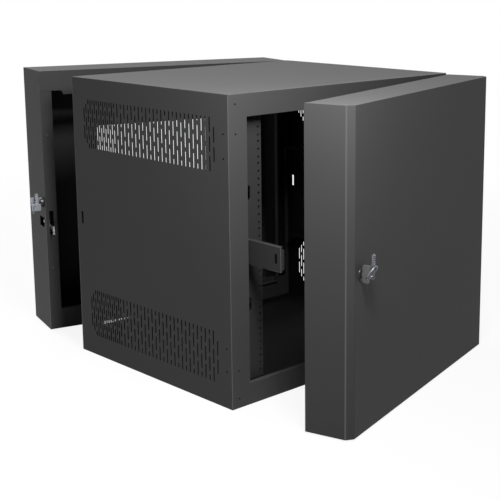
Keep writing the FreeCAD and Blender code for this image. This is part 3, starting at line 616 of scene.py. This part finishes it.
# %% keys
KEY_HALF = 0.00125
out = DOOR_FRONT
hole = circle_loop(out - 0.012, -0.007, 0.0032, 20)
key_piece("door_key", "door_key_plug",
          [rounded_rect(out - 0.017, -0.0155, out - 0.0035, 0.0185, 0.003),
           rounded_rect(out - 0.0040, -0.004, out - 0.0022, 0.004, 0.0004)],
          [hole], "x", LOCK_X - KEY_HALF, LOCK_X + KEY_HALF, BOW, "nickel")
key_piece("door_spare_key", "door_key_plug",
          [rounded_rect(out - 0.017, -0.014, out - 0.005, 0.0128, 0.003),
           key_blade(out - 0.0112, out - 0.019, 0.0126, 0.036, 5, 0.0042)],
          [hole], "x", LOCK_X + 0.0203, LOCK_X + 0.0225, BOW, "nickel", 0.0135)
ring_r, lean = 0.0151, math.radians(30)
half_chord = ring_r * math.sin(math.radians(45))
ring_centre = (LOCK_X + half_chord, out - 0.012 - half_chord * math.sin(lean),
               -0.007 + half_chord * math.cos(lean))
split_ring("door_key_ring", "door_key_plug", ring_centre, (1, 0, 0),
           (0, -math.sin(lean), math.cos(lean)), ring_r, 0.00085, 0.0016)

side = -HALF_W
hole = circle_loop(side - 0.0255, -0.0085, 0.003, 20)
key_piece("wall_key", "wall_key_plug",
          [rounded_rect(side - 0.030, -0.013, side - 0.018, 0.013, 0.003),
           rounded_rect(side - 0.0182, -0.004, side - 0.0088, 0.004, 0.0004)],
          [hole], "y", WALL_LOCK_Y - KEY_HALF, WALL_LOCK_Y + KEY_HALF, KEY_METAL, "nickel")
key_piece("wall_spare_key", "wall_key_plug",
          [rounded_rect(side - 0.030, -0.018, side - 0.008, -0.0011, 0.003),
           key_blade(side - 0.0142, side - 0.022, -0.0013, 0.025, 5, 0.0036)],
          [hole], "y", WALL_LOCK_Y - 0.0141, WALL_LOCK_Y - 0.0119, KEY_METAL, "nickel")
split_ring("wall_key_ring", "wall_key_plug", (side - 0.0255, WALL_LOCK_Y - 0.0065, -0.015),
           (0, 1, 0), (0, 0, 1), 0.0092, 0.00075, 0.0014)
print("keys and rings done")

# %% [markdown]
# ## Hinge caps, washers and screws
# A lift-off hinge shows a domed end on each barrel, a thin washer between its halves, and screws in
# its leaves. All of them are small turned forms, and forms of one kind on one section are made one
# piece. A cap or washer rides with the half of the hinge that it is fixed to.

# %% hinge fittings
def dome(radius, height, steps=5):
    """Profile of a low dome that stands on height 0."""
    t = np.linspace(0, np.pi / 2, steps)
    return np.stack([radius * np.cos(t), height * np.sin(t)], 1)


def screw_head(centre, axis, radius, height):
    """A pan head with a six-sided recess in its middle."""
    skirt = [(radius, 0.0), (radius, height * 0.4), (radius * 0.8, height * 0.85),
             (radius * 0.5, height)]
    recess = [(radius * 0.42, height), (radius * 0.4, height * 0.4), (0.0, height * 0.35)]
    return turned_form(centre, axis, skirt + recess, 18)


def many(name, body, parts, material, slot):
    """One piece made of several equal small forms, with its hard edges kept."""
    made = add_piece(name, body, *joined_parts(parts), material, slot=slot)
    made.modifiers.new("sharp edges", "EDGE_SPLIT").split_angle = math.radians(35)


BARREL_HALF, CAP_R, CAP_H = 0.02725, 0.0042, 0.0016
WASHER = [(0.0026, 0), (0.0047, 0), (0.0047, 0.00044), (0.0026, 0.00044)]
SCREW_R, SCREW_H = 0.0029, 0.0013
SCREWS = ((0.011, 0.007), (0.011, 0.0205), (0.024, 0.0138))
cap, middles = dome(CAP_R, CAP_H), (-HINGE_Z, HINGE_Z)
for word, y, pinned, hung in (("swing", (WALL_FRONT + REAR) / 2, "wall_section", "cabinet"),
                              ("door", (FRONT + DOOR_REAR) / 2, "cabinet", "door")):
    low_caps, high_caps = ([turned_form((HINGE_X, y, z + up * BARREL_HALF), (0, 0, up), cap)
                            for z in middles] for up in (-1, 1))
    washers = [turned_form((HINGE_X, y, z - 0.00022), (0, 0, 1), WASHER, tube=True) for z in middles]
    screws = [screw_head((HALF_W + SHEET, y - back, z + up), (1, 0, 0), SCREW_R, SCREW_H)
              for z in middles for back, up in SCREWS]
    many(f"{word}_hinge_low_caps", pinned, low_caps, COAT, "powder_coat")
    many(f"{word}_hinge_high_caps", hung, high_caps, COAT, "powder_coat")
    many(f"{word}_hinge_washers", pinned, washers, KEY_METAL, "nickel")
    many(f"{word}_hinge_screws", hung, screws, BLACK_SCREW, "zinc")
    print(word, "hinges:", len(screws), "screws")

# %% [markdown]
# ## Rubber buffers and spot welds
# The cabinet closes against two low rubber domes. The stiffener behind the door's face is held by
# spot welds, and each of them leaves a shallow round mark on its flange. A dome is a quarter of an
# ellipse on a short skirt, and a weld mark is a flat ring with a hollow in its middle.

# %% buffers and welds
BUFFER_X, BUFFER_Z, BUFFER_H, CROWN = -HALF_W + 0.013, 0.162, 0.0024, 0.0018
buffer_profile = np.concatenate([[(0.006, 0.0)], dome(0.0059, CROWN) + (0, BUFFER_H - CROWN)])
buffers = [turned_form((BUFFER_X, WALL_FRONT, z), (0, -1, 0), buffer_profile, 28)
           for z in (-BUFFER_Z, BUFFER_Z)]
pads = add_piece("buffer_pads_domed", "wall_section", *joined_parts(buffers), RUBBER, slot="rubber")
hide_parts("buffer_pads")

WELD = [(0.0032, 0.0), (0.003, 0.00015), (0.0022, 0.00015), (0.0014, 0.00005), (0.0, 0.00002)]
WELD_X, WELD_Z = 0.0267, np.linspace(-0.26, 0.26, 9)
welds = [turned_form((x, DOOR_FRONT + 2 * SHEET, z), (0, 1, 0), WELD, 16)
         for x in (-WELD_X, WELD_X) for z in WELD_Z]
many("door_spot_welds", "door", welds, COAT, "powder_coat")
print(len(buffers), "buffers and", len(welds), "spot welds done")

# %% [markdown]
# ## The camera
# A long lens from the left and a little above shows the side wall, the open door and the top. A
# long lens stands far off, so upright lines stay nearly parallel, and the shift of the lens puts
# the cabinet in the middle without turning the camera.

# %% camera
lens = bpy.data.cameras.new("camera")
lens.lens, lens.sensor_width = 81.16, 36.0
lens.shift_x, lens.shift_y = -0.1514, -0.1154
camera = bpy.data.objects.new("camera", lens)
camera.location = (-1.0667, -2.7625, 0.546)
camera.rotation_euler = (math.radians(90 - 11.09), 0, math.radians(-29.94))
bpy.context.scene.collection.objects.link(camera)
bpy.context.scene.camera = camera
print("camera", [round(v, 3) for v in camera.location], "lens", round(lens.lens, 1))

# %% [markdown]
# ## Floor and surroundings
# The floor and the surroundings are white to the camera and in reflections. To all other rays the
# surroundings are dim and the floor is pale, so that they don't light the object. Near the cabinet
# a tenth of the floor's own shading is left in, which keeps the soft shadow, and it fades out
# further away.

# %% floor and surroundings
FLOOR_TONE, NEAR, FAR, GLOW_NEAR = 0.5, 0.9, 2.4, 0.9


def seen_white(tree):
    """A factor of 1 for camera, glossy and transmission rays, and 0 for the rest."""
    rays = tree.nodes.new("ShaderNodeLightPath")
    total = rays.outputs["Is Camera Ray"]
    for name in ("Is Glossy Ray", "Is Transmission Ray"):
        add = tree.nodes.new("ShaderNodeMath")
        add.operation, add.use_clamp = "ADD", True
        tree.links.new(total, add.inputs[0])
        tree.links.new(rays.outputs[name], add.inputs[1])
        total = add.outputs[0]
    return total


def make_world(dim):
    """White where it is seen, and dim as a light."""
    world = bpy.data.worlds.new("studio")
    world.use_nodes = True
    bpy.context.scene.world = world
    tree = world.node_tree
    ground = tree.nodes["Background"]
    ground.inputs["Color"].default_value = (1, 1, 1, 1)
    level = tree.nodes.new("ShaderNodeMapRange")
    level.inputs["To Min"].default_value = dim
    level.inputs["To Max"].default_value = 1.0
    tree.links.new(seen_white(tree), level.inputs["Value"])
    tree.links.new(level.outputs["Result"], ground.inputs["Strength"])


def make_floor(height, reach=14.0):
    """A pale level floor that shows white to the camera and keeps a soft shadow."""
    material = bpy.data.materials.new("pale floor")
    material.use_nodes = True
    tree = material.node_tree
    shader = tree.nodes["Principled BSDF"]
    shader.inputs["Base Color"].default_value = (FLOOR_TONE, FLOOR_TONE, FLOOR_TONE, 1)
    shader.inputs["Roughness"].default_value = 0.9
    glow = tree.nodes.new("ShaderNodeEmission")
    mix = tree.nodes.new("ShaderNodeMixShader")
    place = tree.nodes.new("ShaderNodeTexCoord")
    reach_out = tree.nodes.new("ShaderNodeVectorMath")
    reach_out.operation = "LENGTH"
    tree.links.new(place.outputs["Object"], reach_out.inputs[0])
    fade = tree.nodes.new("ShaderNodeMapRange")
    fade.interpolation_type = "SMOOTHSTEP"
    for name, value in (("From Min", NEAR), ("From Max", FAR), ("To Min", GLOW_NEAR), ("To Max", 1.0)):
        fade.inputs[name].default_value = value
    tree.links.new(reach_out.outputs["Value"], fade.inputs["Value"])
    share = tree.nodes.new("ShaderNodeMath")
    share.operation = "MULTIPLY"
    tree.links.new(fade.outputs["Result"], share.inputs[1])
    tree.links.new(seen_white(tree), share.inputs[0])
    tree.links.new(share.outputs[0], mix.inputs["Fac"])
    tree.links.new(shader.outputs[0], mix.inputs[1])
    tree.links.new(glow.outputs[0], mix.inputs[2])
    tree.links.new(mix.outputs[0], tree.nodes["Material Output"].inputs["Surface"])
    mesh = bpy.data.meshes.new("floor")
    mesh.from_pydata([(-reach, -reach, height), (reach, -reach, height), (reach, reach, height),
                      (-reach, reach, height)], [], [(0, 1, 2, 3)])
    mesh.materials.append(material)
    floor = bpy.data.objects.new("floor", mesh)
    bpy.context.scene.collection.objects.link(floor)


make_world(0.05)
make_floor(-HALF_H - 0.0005)
print("floor at", -HALF_H - 0.0005)

# %% [markdown]
# ## Lamps
# Two small lamps stand near the front and a broad one hangs behind and above. The near ones make
# the slow fade from top to bottom on the post and on the door's side, because light falls off
# quickly close to a lamp. The broad one gives the top an even tone.

# %% lamps
LAMPS = {
    # name: (place, aimed at, size, watts)
    "front": ((-0.22, -1.6, 1.4), (-0.3, -0.8, 0.1), 0.35, 23),
    "low front": ((-0.24, -1.34, 0.67), (-0.33, -0.8, 0.15), 0.26, 17),
    "rear": ((-0.5, 1.4, 3.2), (-0.1, -0.3, 0.2), 1.4, 185),
}


def make_lamp(name, place, target, size, watts):
    """A square lamp aimed at a point."""
    lamp = bpy.data.lights.new(name, "AREA")
    lamp.energy, lamp.size = watts, size
    obj = bpy.data.objects.new(name, lamp)
    way, u, v = basis(np.array(place) - np.array(target))
    matrix = np.eye(4)
    matrix[:3, 0], matrix[:3, 1], matrix[:3, 2], matrix[:3, 3] = u, v, way, place
    obj.matrix_world = Matrix(matrix.tolist())
    bpy.context.scene.collection.objects.link(obj)


for lamp_name, (place, target, size, watts) in LAMPS.items():
    make_lamp(lamp_name, place, target, size, watts)
bpy.context.scene.view_settings.view_transform = "Standard"
print("lamps", sorted(LAMPS))
